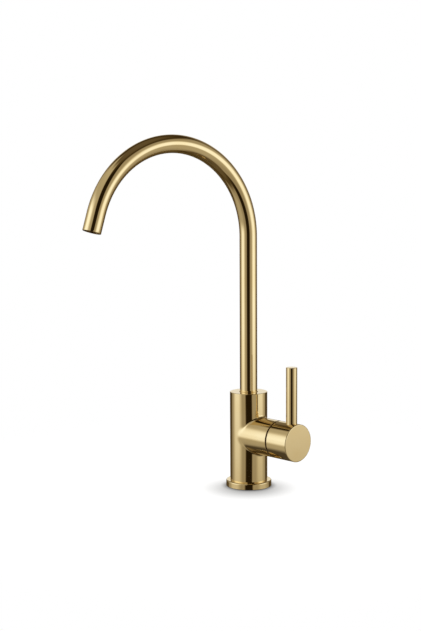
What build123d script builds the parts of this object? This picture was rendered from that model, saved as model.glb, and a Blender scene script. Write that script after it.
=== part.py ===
from build123d import *
from math import cos, radians, sin
import os

# Single-lever tap for filtered drinking water.
# Millimetres. Z runs up the column and z = 0 is the deck that the tap is fastened to.
# X runs out along the valve branch. The spout stands over -Y.

# Fits
static_clearance = 0.03     # radial, between pieces that are pressed, screwed or brazed together
running_clearance = 0.05    # radial, between pieces that turn in each other
face_clearance = 0.1        # along the axis, between faces that slide past each other
free_clearance = 0.4        # between curved faces that pass each other without touching

# Base
flange_diameter = 42
flange_height = 6
flange_edge_radius = 1.2
flange_lift = 0.5           # how far the seal holds the flange off the deck
seal_diameter = 40
seal_thickness = 1.5
spigot_diameter = 30        # foot of the column, inside the flange
spigot_height = 3           # where the column's shoulder sits in the flange

# Column
column_diameter = 34.5
column_height = 88.5
column_edge_radius = 0.6

# Inlet and fixing threads under the column
inlet_thread_drill = 9      # tapping drill for M10x1
inlet_thread_depth = 12
inlet_offset = 8            # from the column's axis, away from the branch
fixing_thread_drill = 6.8   # tapping drill for M8
fixing_thread_depth = 14
fixing_offset = 8           # from the column's axis, towards the branch

# Valve branch, with distances along it counted from the column's axis
branch_diameter = 34
branch_length = 37.7
branch_fillet = 2.2
branch_rim_radius = 0.25
valve_seat_distance = 2
chamber_diameter = 21
chamber_length = 20
chamber_roof = 4.5          # wall between the chamber and the spout's socket
branch_thread_diameter = 22
branch_recess_diameter = 28
branch_recess_depth = 5
groove_width = 1.7          # between the branch and the turning cap

# Water ways
water_way_diameter = 8
outlet_way_diameter = 5.5
outlet_way_offset = 5.5     # from the column's axis, towards the branch

# Spout pipe
pipe_diameter = 16
pipe_wall = 1.5
spout_turn_at_rest = -6     # degrees about Z, from straight forward
riser_length = 143          # from the top of the column to the bend
bend_radius = 82.5
bend_angle = 163
outlet_length = 16.5        # straight end after the bend
mouth_edge_radius = 0.3
collar_diameter = 17.2
collar_height = 0.5
collar_edge_radius = 0.15

# Spout foot and its socket, with depths counted from the top of the column
socket_depth = 24.5
socket_floor_gap = 2
shoulder_depth = 2
upper_bush_depth = 3.9
retaining_depth = 8.5
upper_o_ring_depth = 13
lower_o_ring_depth = 16.8
lower_bush_depth = 20.4
foot_spigot_length = 10     # brazed part inside the pipe
foot_bore = 9.5
o_ring_groove_depth = 1.7
o_ring_groove_width = 2.4
bush_groove_depth = 1.2
bush_groove_width = 2.6
bush_split = 0.8            # cut through each slide ring
retaining_groove_depth = 1.6
retaining_groove_width = 4
retaining_screw_diameter = 4
retaining_screw_length = 7
retaining_tip_diameter = 2.6

# Outlet insert
outlet_recess = 0.8         # from the pipe's end to the insert
insert_wall = 1
insert_shoulder = 1
insert_shoulder_bore = 8.4
insert_rim = 1.4            # from the insert's rim to the honeycomb
honeycomb_length = 5
honeycomb_rings = 2         # rings of holes round the middle one
honeycomb_web = 0.4
screen_thickness = 0.4
screen_rings = 3
screen_web = 0.5
hole_field_margin = 0.2     # plain edge round each field of holes
insert_seal_thickness = 1.2

# Cartridge
disc_diameter = 15.6
disc_thickness = 3
disc_film = 0.02            # between the lapped faces
port_outer_radius = 6.2
port_inner_radius = 2.2
port_angle = 80
seat_seal_thickness = 2.5
seat_seal_bore = 13
nose_diameter = 18
nose_gap = 0.6              # between the nose and the valve seat
nose_window_width = 6
cavity_diameter = 16
housing_collar_length = 4
housing_groove_width = 2.2
housing_groove_depth = 1.4
hex_across_flats = 22
hex_thickness = 4
neck_diameter = 15
neck_length = 4.4

# Spindle, with the quarter-turn stop
spindle_diameter = 8
spindle_foot_diameter = 15.4
spindle_foot_thickness = 3
drive_slot_width = 3
drive_slot_depth = 1.5
thrust_washer_thickness = 0.8
spindle_groove_depth = 1.2
spindle_groove_width = 2
inner_groove_setback = 7    # from the cavity's end to the first ring
spindle_groove_spacing = 7
clip_thickness = 1
clip_diameter = 12
clip_groove_depth = 0.7
clip_opening = 70           # degrees
stop_thickness = 2
stop_ring_diameter = 9.8
stop_tab_angle = 40
stop_travel = 90
stop_play = 1               # degrees, at each end of the travel
tab_rest_angle = 0          # where the tab points at rest, from +Y towards +Z
spindle_flat_depth = 0.7    # flat that the grub screw presses on

# Glide ring in the groove
glide_sleeve_wall = 0.8
glide_sleeve_length = 4.5
glide_flange_diameter = 33.2
glide_flange_thickness = 1.5

# Handle
cap_diameter = 34
cap_length = 23.4
cap_face_radius = 0.8
cap_cavity_diameter = 27
cap_cavity_gap = 1.4        # between the clip and the cavity's end
cap_front_wall = 4.8
spindle_end_gap = 0.5
lever_diameter = 10
lever_length = 50.6         # above the cap
lever_setback = 8.2         # from the cap's face to the lever's axis
lever_seat_depth = 4.5      # below the top of the cap
lever_tip_radius = 0.5
lever_stud_diameter = 6
lever_stud_length = 6
lever_stud_gap = 0.3
handle_screw_diameter = 5
handle_screw_length = 9
socket_share = 0.5          # hexagon socket across flats, as a share of the screw's diameter
socket_share_depth = 0.5    # depth of that socket, likewise

# Radii, and heights on the column
column_radius = column_diameter / 2
pipe_radius = pipe_diameter / 2
pipe_bore_radius = pipe_radius - pipe_wall
socket_radius = pipe_radius + running_clearance
socket_floor = column_height - socket_depth
foot_bottom = socket_floor + socket_floor_gap
foot_shoulder = column_height - shoulder_depth
retaining_height = column_height - retaining_depth
bend_start = column_height + riser_length
valve_height = socket_floor - chamber_roof - chamber_diameter / 2
cap_top = valve_height + cap_diameter / 2
lever_seat = cap_top - lever_seat_depth

# Distances along the branch, from the seat outwards
chamber_end = valve_seat_distance + chamber_length
recess_floor = branch_length - branch_recess_depth
nose_start = valve_seat_distance + nose_gap
fixed_disc_start = valve_seat_distance + seat_seal_thickness
moving_disc_start = fixed_disc_start + disc_thickness + disc_film
spindle_foot_start = moving_disc_start + disc_thickness + disc_film
spindle_foot_end = spindle_foot_start + spindle_foot_thickness
thrust_washer_start = spindle_foot_end + disc_film
cavity_end = thrust_washer_start + thrust_washer_thickness
inner_groove = cavity_end + inner_groove_setback
outer_groove = inner_groove + spindle_groove_spacing
housing_groove = chamber_end - housing_collar_length / 2
hex_end = recess_floor + hex_thickness
neck_end = hex_end + neck_length
stop_start = neck_end + face_clearance
clip_start = stop_start + stop_thickness
cap_start = branch_length + groove_width
cap_cavity_end = clip_start + clip_thickness + cap_cavity_gap
cap_face = cap_start + cap_length
cap_bore_end = cap_face - cap_front_wall
spindle_end = cap_bore_end - spindle_end_gap
lever_distance = cap_face - lever_setback

# Radii inside the valve
spindle_radius = spindle_diameter / 2
gland_radius = spindle_radius + running_clearance
cavity_radius = cavity_diameter / 2
stop_wall_radius = stop_ring_diameter / 2 + free_clearance
stop_wall_angle = 360 - stop_travel - stop_tab_angle - 2 * stop_play
stop_wall_middle = tab_rest_angle + stop_travel / 2 + 180
spindle_flat = spindle_radius - spindle_flat_depth

# The spout's own plane: its X runs forward from the column and its Y runs up
spout_heading = radians(-90 + spout_turn_at_rest)
spout_plane = Plane(
    origin=(0, 0, 0),
    x_dir=(cos(spout_heading), sin(spout_heading), 0),
    z_dir=(sin(spout_heading), -cos(spout_heading), 0),
)

os.makedirs("parts", exist_ok=True)


def up(height):
    """The level plane at this height."""
    return Plane.XY.offset(height)


def out(distance):
    """The plane square to the branch, this far from the column's axis."""
    return Plane(origin=(distance, 0, valve_height), x_dir=(0, 1, 0), z_dir=(1, 0, 0))


def save(piece, name):
    """Label a finished piece and write it."""
    piece.part.label = name
    export_step(piece.part, f"parts/{name}.step")


def sector(outer_radius, inner_radius, middle, angle):
    """A piece of a flat ring, in a sketch, centred on the direction `middle` in degrees."""
    first, half, last = (radians(middle + share * angle) for share in (-0.5, 0, 0.5))

    def point(radius, turn):
        return (radius * cos(turn), radius * sin(turn))

    with BuildLine() as outline:
        ThreePointArc(point(outer_radius, first), point(outer_radius, half), point(outer_radius, last))
        Line(point(outer_radius, last), point(inner_radius, last))
        ThreePointArc(point(inner_radius, last), point(inner_radius, half), point(inner_radius, first))
        Line(point(inner_radius, first), point(outer_radius, first))
    make_face(outline.edges())


def hole_field(radius, rings, web):
    """Close-packed round holes, in a sketch, with `rings` rings round the middle one."""
    pitch = 2 * (radius - hole_field_margin) / (2 * rings + 1)
    steps = range(-rings, rings + 1)
    centres = [
        (pitch * (column + row / 2), pitch * row * sin(radians(60)))
        for row in steps
        for column in steps
        if abs(column + row) <= rings
    ]
    with Locations(*centres):
        Circle((pitch - web) / 2, mode=Mode.SUBTRACT)


# Base seal, a flat rubber ring that carries the tap

with BuildPart() as base_seal:
    with BuildSketch():
        Circle(seal_diameter / 2)
        Circle(spigot_diameter / 2 + static_clearance, mode=Mode.SUBTRACT)
    extrude(amount=seal_thickness)
save(base_seal, "base_seal")

# Base flange, trapped under the column's shoulder

with BuildPart() as base_flange:
    with BuildSketch(up(flange_lift)):
        Circle(flange_diameter / 2)
    extrude(amount=flange_height - flange_lift)
    fillet(base_flange.edges().group_by(Axis.Z)[-1], flange_edge_radius)
    with BuildSketch(up(flange_lift)):
        Circle(spigot_diameter / 2 + static_clearance)
    extrude(amount=flange_height, mode=Mode.SUBTRACT)
    with BuildSketch(up(spigot_height)):
        Circle(column_radius + static_clearance)
    extrude(amount=flange_height, mode=Mode.SUBTRACT)
    with BuildSketch(up(flange_lift)):
        Circle(seal_diameter / 2 + static_clearance)
    extrude(amount=seal_thickness - flange_lift, mode=Mode.SUBTRACT)
save(base_flange, "base_flange")

# Body: the column with its branch, bored for the water, the valve and the spout

with BuildPart() as body:
    with BuildSketch(up(spigot_height)):
        Circle(column_radius)
    extrude(amount=column_height - spigot_height)
    with BuildSketch(out(0)):
        Circle(branch_diameter / 2)
    extrude(amount=branch_length)
    crossing = [
        edge for edge in body.edges().filter_by(GeomType.BSPLINE) if edge.center().X < column_radius
    ]
    fillet(crossing, branch_fillet)
    fillet(body.edges().group_by(Axis.Z)[-1], column_edge_radius)
    fillet(body.edges().group_by(Axis.X)[-1], branch_rim_radius)
    with BuildSketch():
        Circle(spigot_diameter / 2)
    extrude(amount=spigot_height)

    # Spout socket
    with BuildSketch(up(socket_floor)):
        Circle(socket_radius)
    extrude(amount=socket_depth, mode=Mode.SUBTRACT)

    # Valve chamber, its thread and the recess for the hexagon
    with BuildSketch(out(valve_seat_distance)):
        Circle(chamber_diameter / 2)
    extrude(amount=branch_length, mode=Mode.SUBTRACT)
    with BuildSketch(out(chamber_end)):
        Circle(branch_thread_diameter / 2)
    extrude(amount=branch_length, mode=Mode.SUBTRACT)
    with BuildSketch(out(recess_floor)):
        Circle(branch_recess_diameter / 2)
    extrude(amount=branch_length, mode=Mode.SUBTRACT)

    # Water ways: up from the inlet, across to the seat, and from the chamber up to the spout
    with BuildSketch():
        with Locations((-inlet_offset, 0)):
            Circle(water_way_diameter / 2)
    extrude(amount=valve_height, mode=Mode.SUBTRACT)
    with BuildSketch(out(-inlet_offset)):
        Circle(water_way_diameter / 2)
    extrude(amount=inlet_offset + valve_seat_distance, mode=Mode.SUBTRACT)
    with BuildSketch(up(valve_height)):
        with Locations((outlet_way_offset, 0)):
            Circle(outlet_way_diameter / 2)
    extrude(amount=socket_floor - valve_height, mode=Mode.SUBTRACT)

    # Inlet thread and fixing thread
    with BuildSketch():
        with Locations((-inlet_offset, 0)):
            Circle(inlet_thread_drill / 2)
    extrude(amount=inlet_thread_depth, mode=Mode.SUBTRACT)
    with BuildSketch():
        with Locations((fixing_offset, 0)):
            Circle(fixing_thread_drill / 2)
    extrude(amount=fixing_thread_depth, mode=Mode.SUBTRACT)

    # Threaded hole at the back for the screw that keeps the spout in
    with BuildSketch(Plane.XZ.offset(-column_radius)):
        with Locations((0, retaining_height)):
            Circle(retaining_screw_diameter / 2 + static_clearance)
    extrude(amount=column_radius, mode=Mode.SUBTRACT)
save(body, "body")

# Screw that keeps the spout in: its tip stands in the foot's groove

retaining_tip_start = pipe_radius - retaining_groove_depth + free_clearance
retaining_screw_start = pipe_radius + free_clearance
retaining_screw_end = retaining_screw_start + retaining_screw_length

with BuildPart() as spout_retaining_screw:
    with BuildSketch(Plane.XZ.offset(-retaining_tip_start)):
        with Locations((0, retaining_height)):
            Circle(retaining_tip_diameter / 2)
    extrude(amount=retaining_tip_start - retaining_screw_start)
    with BuildSketch(Plane.XZ.offset(-retaining_screw_start)):
        with Locations((0, retaining_height)):
            Circle(retaining_screw_diameter / 2)
    extrude(amount=-retaining_screw_length)
    with BuildSketch(Plane.XZ.offset(-retaining_screw_end)):
        with Locations((0, retaining_height)):
            RegularPolygon(retaining_screw_diameter * socket_share / 2, 6, major_radius=False)
    extrude(amount=retaining_screw_diameter * socket_share_depth, mode=Mode.SUBTRACT)
save(spout_retaining_screw, "spout_retaining_screw")

# Cartridge housing: nose with the discs, collar, thread, hexagon and neck with the stop wall

with BuildPart() as cartridge_housing:
    with BuildSketch(out(nose_start)):
        Circle(nose_diameter / 2)
    extrude(amount=chamber_end - nose_start)
    with BuildSketch(out(chamber_end - housing_collar_length)):
        Circle(chamber_diameter / 2 - static_clearance)
    extrude(amount=housing_collar_length)
    with BuildSketch(out(chamber_end)):
        Circle(branch_thread_diameter / 2 - static_clearance)
    extrude(amount=recess_floor - chamber_end)
    with BuildSketch(out(recess_floor)):
        RegularPolygon(hex_across_flats / 2, 6, major_radius=False)
    extrude(amount=hex_thickness)
    with BuildSketch(out(hex_end)):
        Circle(neck_diameter / 2)
    extrude(amount=neck_length)
    with BuildSketch(out(neck_end)):
        sector(neck_diameter / 2, stop_wall_radius, stop_wall_middle, stop_wall_angle)
    extrude(amount=stop_thickness)
    with BuildSketch(out(nose_start)):
        Circle(cavity_radius)
    extrude(amount=cavity_end - nose_start, mode=Mode.SUBTRACT)
    with BuildSketch(out(cavity_end)):
        Circle(gland_radius)
    extrude(amount=neck_end - cavity_end, mode=Mode.SUBTRACT)
    with BuildSketch(out(moving_disc_start)):
        Rectangle(nose_window_width, nose_diameter)
    extrude(amount=spindle_foot_end - moving_disc_start, mode=Mode.SUBTRACT)
    with BuildSketch(out(housing_groove - housing_groove_width / 2)):
        Circle(chamber_diameter / 2)
        Circle(chamber_diameter / 2 - housing_groove_depth, mode=Mode.SUBTRACT)
    extrude(amount=housing_groove_width, mode=Mode.SUBTRACT)
save(cartridge_housing, "cartridge_housing")

# Seal between the fixed disc and the valve seat

with BuildPart() as cartridge_seat_seal:
    with BuildSketch(out(valve_seat_distance)):
        Circle(cavity_radius - static_clearance)
        Circle(seat_seal_bore / 2, mode=Mode.SUBTRACT)
    extrude(amount=seat_seal_thickness)
save(cartridge_seat_seal, "cartridge_seat_seal")

# Ceramic discs: the ports stand crossed while the tap is shut

with BuildPart() as fixed_disc:
    with BuildSketch(out(fixed_disc_start)):
        Circle(disc_diameter / 2)
    extrude(amount=disc_thickness)
    for middle in (0, 180):
        with BuildSketch(out(fixed_disc_start)):
            sector(port_outer_radius, port_inner_radius, middle, port_angle)
        extrude(amount=disc_thickness, mode=Mode.SUBTRACT)
save(fixed_disc, "fixed_disc")

with BuildPart() as moving_disc:
    with BuildSketch(out(moving_disc_start)):
        Circle(disc_diameter / 2)
    extrude(amount=disc_thickness)
    for middle in (90, 270):
        with BuildSketch(out(moving_disc_start)):
            sector(port_outer_radius, port_inner_radius, middle, port_angle)
        extrude(amount=disc_thickness, mode=Mode.SUBTRACT)
    with BuildSketch(out(moving_disc_start + disc_thickness - drive_slot_depth)):
        Rectangle(disc_diameter, drive_slot_width)
    extrude(amount=drive_slot_depth, mode=Mode.SUBTRACT)
save(moving_disc, "moving_disc")

# Spindle: drive blade, foot, shaft with ring grooves, clip groove and flat

with BuildPart() as spindle:
    with BuildSketch(out(spindle_foot_start)):
        Circle(spindle_foot_diameter / 2)
    extrude(amount=spindle_foot_thickness)
    for middle in (90, 270):
        with BuildSketch(out(spindle_foot_start)):
            sector(spindle_foot_diameter / 2, spindle_radius, middle, port_angle)
        extrude(amount=spindle_foot_thickness, mode=Mode.SUBTRACT)
    with BuildSketch(out(spindle_foot_start - drive_slot_depth + face_clearance)):
        Rectangle(spindle_foot_diameter - 2 * face_clearance, drive_slot_width - 2 * running_clearance)
    extrude(amount=drive_slot_depth)
    with BuildSketch(out(spindle_foot_start)):
        Circle(spindle_radius)
    extrude(amount=spindle_end - spindle_foot_start)
    for middle in (inner_groove, outer_groove):
        with BuildSketch(out(middle - spindle_groove_width / 2)):
            Circle(spindle_radius)
            Circle(spindle_radius - spindle_groove_depth, mode=Mode.SUBTRACT)
        extrude(amount=spindle_groove_width, mode=Mode.SUBTRACT)
    with BuildSketch(out(clip_start)):
        Circle(spindle_radius)
        Circle(spindle_radius - clip_groove_depth, mode=Mode.SUBTRACT)
    extrude(amount=clip_thickness, mode=Mode.SUBTRACT)
    with BuildSketch(out(cap_cavity_end)):
        with Locations((0, -spindle_flat)):
            Rectangle(spindle_diameter, spindle_radius, align=(Align.CENTER, Align.MAX))
    extrude(amount=spindle_end - cap_cavity_end, mode=Mode.SUBTRACT)
save(spindle, "spindle")

with BuildPart() as thrust_washer:
    with BuildSketch(out(thrust_washer_start)):
        Circle(cavity_radius - static_clearance)
        Circle(spindle_radius + free_clearance, mode=Mode.SUBTRACT)
    extrude(amount=thrust_washer_thickness)
save(thrust_washer, "thrust_washer")

with BuildPart() as stop_ring:
    with BuildSketch(out(stop_start)):
        Circle(stop_ring_diameter / 2)
        sector(neck_diameter / 2, spindle_radius, tab_rest_angle, stop_tab_angle)
        Circle(spindle_radius + static_clearance, mode=Mode.SUBTRACT)
    extrude(amount=stop_thickness)
save(stop_ring, "stop_ring")

with BuildPart() as spindle_clip:
    with BuildSketch(out(clip_start)):
        sector(clip_diameter / 2, spindle_radius - clip_groove_depth + static_clearance, 90, 360 - clip_opening)
    extrude(amount=clip_thickness)
save(spindle_clip, "spindle_clip")

# Glide ring: the dark line between the branch and the cap

with BuildPart() as handle_glide_ring:
    with BuildSketch(out(branch_length - glide_sleeve_length)):
        Circle(branch_recess_diameter / 2 - static_clearance)
    extrude(amount=glide_sleeve_length)
    with BuildSketch(out(branch_length)):
        Circle(glide_flange_diameter / 2)
    extrude(amount=glide_flange_thickness)
    with BuildSketch(out(branch_length - glide_sleeve_length)):
        Circle(branch_recess_diameter / 2 - glide_sleeve_wall)
    extrude(amount=glide_sleeve_length + glide_flange_thickness, mode=Mode.SUBTRACT)
save(handle_glide_ring, "handle_glide_ring")

# Handle: cap, lever and the screw that clamps the cap on the spindle

with BuildPart() as handle_cap:
    with BuildSketch(out(cap_start)):
        Circle(cap_diameter / 2)
    extrude(amount=cap_length)
    fillet(handle_cap.edges().group_by(Axis.X)[-1], cap_face_radius)
    fillet(handle_cap.edges().group_by(Axis.X)[0], branch_rim_radius)
    with BuildSketch(out(cap_start)):
        Circle(cap_cavity_diameter / 2)
    extrude(amount=cap_cavity_end - cap_start, mode=Mode.SUBTRACT)
    with BuildSketch(out(cap_start)):
        Circle(spindle_radius + static_clearance)
    extrude(amount=cap_bore_end - cap_start, mode=Mode.SUBTRACT)
    with BuildSketch(up(lever_seat)):
        with Locations((lever_distance, 0)):
            Circle(lever_diameter / 2 + static_clearance)
    extrude(amount=cap_diameter, mode=Mode.SUBTRACT)
    with BuildSketch(up(lever_seat)):
        with Locations((lever_distance, 0)):
            Circle(lever_stud_diameter / 2 + static_clearance)
    extrude(amount=-lever_stud_length - lever_stud_gap, mode=Mode.SUBTRACT)
    with BuildSketch(up(valve_height)):
        with Locations((lever_distance, 0)):
            Circle(handle_screw_diameter / 2 + static_clearance)
    extrude(amount=-cap_diameter, mode=Mode.SUBTRACT)
save(handle_cap, "handle_cap")

with BuildPart() as lever_rod:
    with BuildSketch(up(lever_seat)):
        with Locations((lever_distance, 0)):
            Circle(lever_diameter / 2)
    extrude(amount=lever_seat_depth + lever_length)
    fillet(lever_rod.edges().group_by(Axis.Z)[-1], lever_tip_radius)
    with BuildSketch(up(lever_seat)):
        with Locations((lever_distance, 0)):
            Circle(lever_stud_diameter / 2)
    extrude(amount=-lever_stud_length)
save(lever_rod, "lever_rod")

with BuildPart() as handle_grub_screw:
    with BuildSketch(up(valve_height - spindle_flat)):
        with Locations((lever_distance, 0)):
            Circle(handle_screw_diameter / 2)
    extrude(amount=-handle_screw_length)
    with BuildSketch(up(valve_height - spindle_flat - handle_screw_length)):
        with Locations((lever_distance, 0)):
            RegularPolygon(handle_screw_diameter * socket_share / 2, 6, major_radius=False)
    extrude(amount=handle_screw_diameter * socket_share_depth, mode=Mode.SUBTRACT)
save(handle_grub_screw, "handle_grub_screw")

# Spout pipe: riser, bend and straight outlet

with BuildLine(spout_plane) as spout_path:
    end_angle = radians(180 - bend_angle)
    bend_end = (bend_radius * (1 + cos(end_angle)), bend_start + bend_radius * sin(end_angle))
    Line((0, foot_shoulder), (0, bend_start))
    CenterArc((bend_radius, bend_start), bend_radius, 180, -bend_angle)
    Line(
        bend_end,
        (bend_end[0] + outlet_length * sin(end_angle), bend_end[1] - outlet_length * cos(end_angle)),
    )

spout_wire = spout_path.wire()
mouth = Plane(origin=spout_wire @ 1, x_dir=spout_plane.z_dir, z_dir=-(spout_wire % 1))

with BuildPart() as spout_pipe:
    with BuildSketch(up(foot_shoulder)):
        Circle(pipe_radius)
        Circle(pipe_bore_radius, mode=Mode.SUBTRACT)
    sweep(path=spout_wire)
    mouth_edges = spout_pipe.edges().filter_by(GeomType.CIRCLE).filter_by(
        lambda edge: (edge.arc_center - mouth.origin).length < static_clearance
    )
    fillet(mouth_edges.sort_by(SortBy.RADIUS)[-1], mouth_edge_radius)
save(spout_pipe, "spout_pipe")

with BuildPart() as spout_collar:
    with BuildSketch(up(column_height + face_clearance)):
        Circle(collar_diameter / 2)
    extrude(amount=collar_height)
    fillet(spout_collar.edges().group_by(Axis.Z)[-1], collar_edge_radius)
    with BuildSketch(up(column_height + face_clearance)):
        Circle(pipe_radius + static_clearance)
    extrude(amount=collar_height, mode=Mode.SUBTRACT)
save(spout_collar, "spout_collar")

# Spout foot: turned insert brazed into the pipe, with grooves for bushes, rings and screw

foot_grooves = [
    (lower_bush_depth, bush_groove_width, bush_groove_depth),
    (lower_o_ring_depth, o_ring_groove_width, o_ring_groove_depth),
    (upper_o_ring_depth, o_ring_groove_width, o_ring_groove_depth),
    (retaining_depth, retaining_groove_width, retaining_groove_depth),
    (upper_bush_depth, bush_groove_width, bush_groove_depth),
]

with BuildPart() as spout_foot:
    with BuildSketch(up(foot_bottom)):
        Circle(pipe_radius)
    extrude(amount=foot_shoulder - foot_bottom)
    with BuildSketch(up(foot_shoulder)):
        Circle(pipe_bore_radius - static_clearance)
    extrude(amount=foot_spigot_length)
    for depth, width, cut in foot_grooves:
        with BuildSketch(up(column_height - depth - width / 2)):
            Circle(pipe_radius)
            Circle(pipe_radius - cut, mode=Mode.SUBTRACT)
        extrude(amount=width, mode=Mode.SUBTRACT)
    with BuildSketch(up(foot_bottom)):
        Circle(foot_bore / 2)
    extrude(amount=foot_shoulder + foot_spigot_length - foot_bottom, mode=Mode.SUBTRACT)
save(spout_foot, "spout_foot")

# Slide bushes: split plastic rings that centre the foot in its socket

bush_width = bush_groove_width - 2 * running_clearance
bush_depths = {"spout_bush_lower": lower_bush_depth, "spout_bush_upper": upper_bush_depth}

for name, depth in bush_depths.items():
    with BuildPart() as bush:
        with BuildSketch(up(column_height - depth - bush_width / 2)):
            Circle(pipe_radius)
            Circle(pipe_radius - bush_groove_depth + static_clearance, mode=Mode.SUBTRACT)
            Rectangle(pipe_diameter, bush_split, align=(Align.MIN, Align.CENTER), mode=Mode.SUBTRACT)
        extrude(amount=bush_width)
    save(bush, name)

# Round rubber rings: where each lies, the radius of its groove and of the wall it seals on

o_rings = {
    "spout_o_ring_lower": (
        up(column_height - lower_o_ring_depth), pipe_radius - o_ring_groove_depth, socket_radius
    ),
    "spout_o_ring_upper": (
        up(column_height - upper_o_ring_depth), pipe_radius - o_ring_groove_depth, socket_radius
    ),
    "spindle_o_ring_inner": (
        out(inner_groove), spindle_radius - spindle_groove_depth, gland_radius
    ),
    "spindle_o_ring_outer": (
        out(outer_groove), spindle_radius - spindle_groove_depth, gland_radius
    ),
    "housing_o_ring": (
        out(housing_groove), chamber_diameter / 2 - housing_groove_depth, chamber_diameter / 2
    ),
}

for name, (plane, groove_radius, wall_radius) in o_rings.items():
    with BuildPart(plane) as o_ring:
        Torus((groove_radius + wall_radius) / 2, (wall_radius - groove_radius) / 2 - running_clearance)
    save(o_ring, name)

# Outlet insert: threaded bush, honeycomb, screen and seal, stacked against the bush's shoulder

insert_radius = pipe_bore_radius - static_clearance
insert_bore_radius = insert_radius - insert_wall
stack_radius = insert_bore_radius - static_clearance
honeycomb_start = outlet_recess + insert_rim
screen_start = honeycomb_start + honeycomb_length
insert_seal_start = screen_start + screen_thickness
insert_shoulder_start = insert_seal_start + insert_seal_thickness

with BuildPart() as outlet_bush:
    with BuildSketch(mouth.offset(outlet_recess)):
        Circle(insert_radius)
        Circle(insert_bore_radius, mode=Mode.SUBTRACT)
    extrude(amount=insert_shoulder_start - outlet_recess)
    with BuildSketch(mouth.offset(insert_shoulder_start)):
        Circle(insert_radius)
        Circle(insert_shoulder_bore / 2, mode=Mode.SUBTRACT)
    extrude(amount=insert_shoulder)
save(outlet_bush, "outlet_bush")

with BuildPart() as flow_straightener:
    with BuildSketch(mouth.offset(honeycomb_start)):
        Circle(stack_radius)
        hole_field(stack_radius, honeycomb_rings, honeycomb_web)
    extrude(amount=honeycomb_length)
save(flow_straightener, "flow_straightener")

with BuildPart() as outlet_screen:
    with BuildSketch(mouth.offset(screen_start)):
        Circle(stack_radius)
        hole_field(stack_radius, screen_rings, screen_web)
    extrude(amount=screen_thickness)
save(outlet_screen, "outlet_screen")

with BuildPart() as straightener_seal:
    with BuildSketch(mouth.offset(insert_seal_start)):
        Circle(stack_radius)
        Circle(insert_shoulder_bore / 2, mode=Mode.SUBTRACT)
    extrude(amount=insert_seal_thickness)
save(straightener_seal, "straightener_seal")
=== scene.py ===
"""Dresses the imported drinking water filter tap: polished gold metal, seals, valve parts and a studio."""
from math import cos, pi, radians, sin

import bpy
from bpy.props import FloatProperty, FloatVectorProperty, IntProperty, PointerProperty
from mathutils import Matrix, Vector


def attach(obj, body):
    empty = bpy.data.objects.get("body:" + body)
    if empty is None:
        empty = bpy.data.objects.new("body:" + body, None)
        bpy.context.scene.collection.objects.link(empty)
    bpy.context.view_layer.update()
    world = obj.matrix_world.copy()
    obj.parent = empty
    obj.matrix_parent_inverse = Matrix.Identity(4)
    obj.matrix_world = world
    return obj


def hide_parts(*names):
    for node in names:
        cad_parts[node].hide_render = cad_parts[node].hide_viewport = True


bl_info = {
    "name": "Drinking water filter tap",
    "version": (1, 0, 0),
    "blender": (4, 5, 0),
    "location": "3D View > Sidebar > Filter tap",
    "description": "Finishes a single-lever filter tap and lights it in a plain white studio",
    "category": "Object",
}

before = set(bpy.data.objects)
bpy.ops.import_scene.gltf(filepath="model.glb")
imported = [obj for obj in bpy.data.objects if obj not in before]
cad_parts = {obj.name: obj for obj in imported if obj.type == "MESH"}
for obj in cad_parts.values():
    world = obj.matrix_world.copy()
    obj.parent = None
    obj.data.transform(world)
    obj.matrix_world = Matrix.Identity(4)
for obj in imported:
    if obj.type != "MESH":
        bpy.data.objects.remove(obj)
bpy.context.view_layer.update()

# The direction from the worktop up
UP = Vector((0.0, 0.0, 1.0))

# Photograph: its height in pixels and the lens that fits it
PHOTO_HEIGHT = 631
FOCAL_PIXELS = 1224.5
SENSOR = 36.0

# Metres: vertices closer than this are one, and a ring of the pipe reaches no further than RING_REACH
NEAR = 1e-6
RING_REACH = 0.02
# Metres: a ring of vertices this near to each end of a straight run keeps its shading straight
HOLD = 0.0015
# The pipe's rims are rounded in this many steps where they turn by more than RIM_ANGLE, and faces that
# meet at less than SMOOTH_ANGLE are shaded as one
RIM_STEPS = 4
RIM_ANGLE = radians(60.0)
SMOOTH_ANGLE = radians(35.0)

# Numbers of a Mix node's sockets when it mixes colours and when it mixes vectors
COLOUR_MIX_INPUTS = (0, 6, 7)
COLOUR_MIX_RESULT = 2
VECTOR_MIX_INPUTS = (0, 4, 5)
VECTOR_MIX_RESULT = 1

# Painted shade round the foot: its middle, then its inner and outer radius in metres and its brightness at
# each
PAINTED_SHADE_MIDDLE = (0.0078, -0.0077, 0.0)
PAINTED_FOOT_SHADE = (0.001, 0.051, 0.3, 1.0)
# Painted dark line at the seal's foot: samples, and how the openness of a place becomes its brightness
SHADE_SAMPLES = 16
PAINTED_CONTACT_SHADE = (0.4, 1.0, 0.25, 1.0)
# Painted shade that only the metal sees on the floor under the branch, by distance from the column in metres
# and by how flat the view over the floor is, and its colour
UNDER_TAP = (0.065, 0.03)
FLAT_VIEW = (0.62, 0.48)
PAINTED_UNDER_SHADE_COLOUR = (0.075, 0.06, 0.04, 1.0)
# The floor's own grey under the lamp and the glow that makes it white to the camera
FLOOR_GREY = (0.12, 0.12, 0.12, 1.0)
FLOOR_GLOW = (0.95, 0.95, 0.95, 1.0)
# The floor's edge: its number of sides, the radius in metres where it starts to fade, and the share of its
# reach where it is gone
FLOOR_SIDES = 96
FADE_START = 0.1
FADE_END = 0.9
# Overhead light, in metres
LAMP_HEIGHT = 1.2
LAMP_SIZE = 3.0

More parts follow.
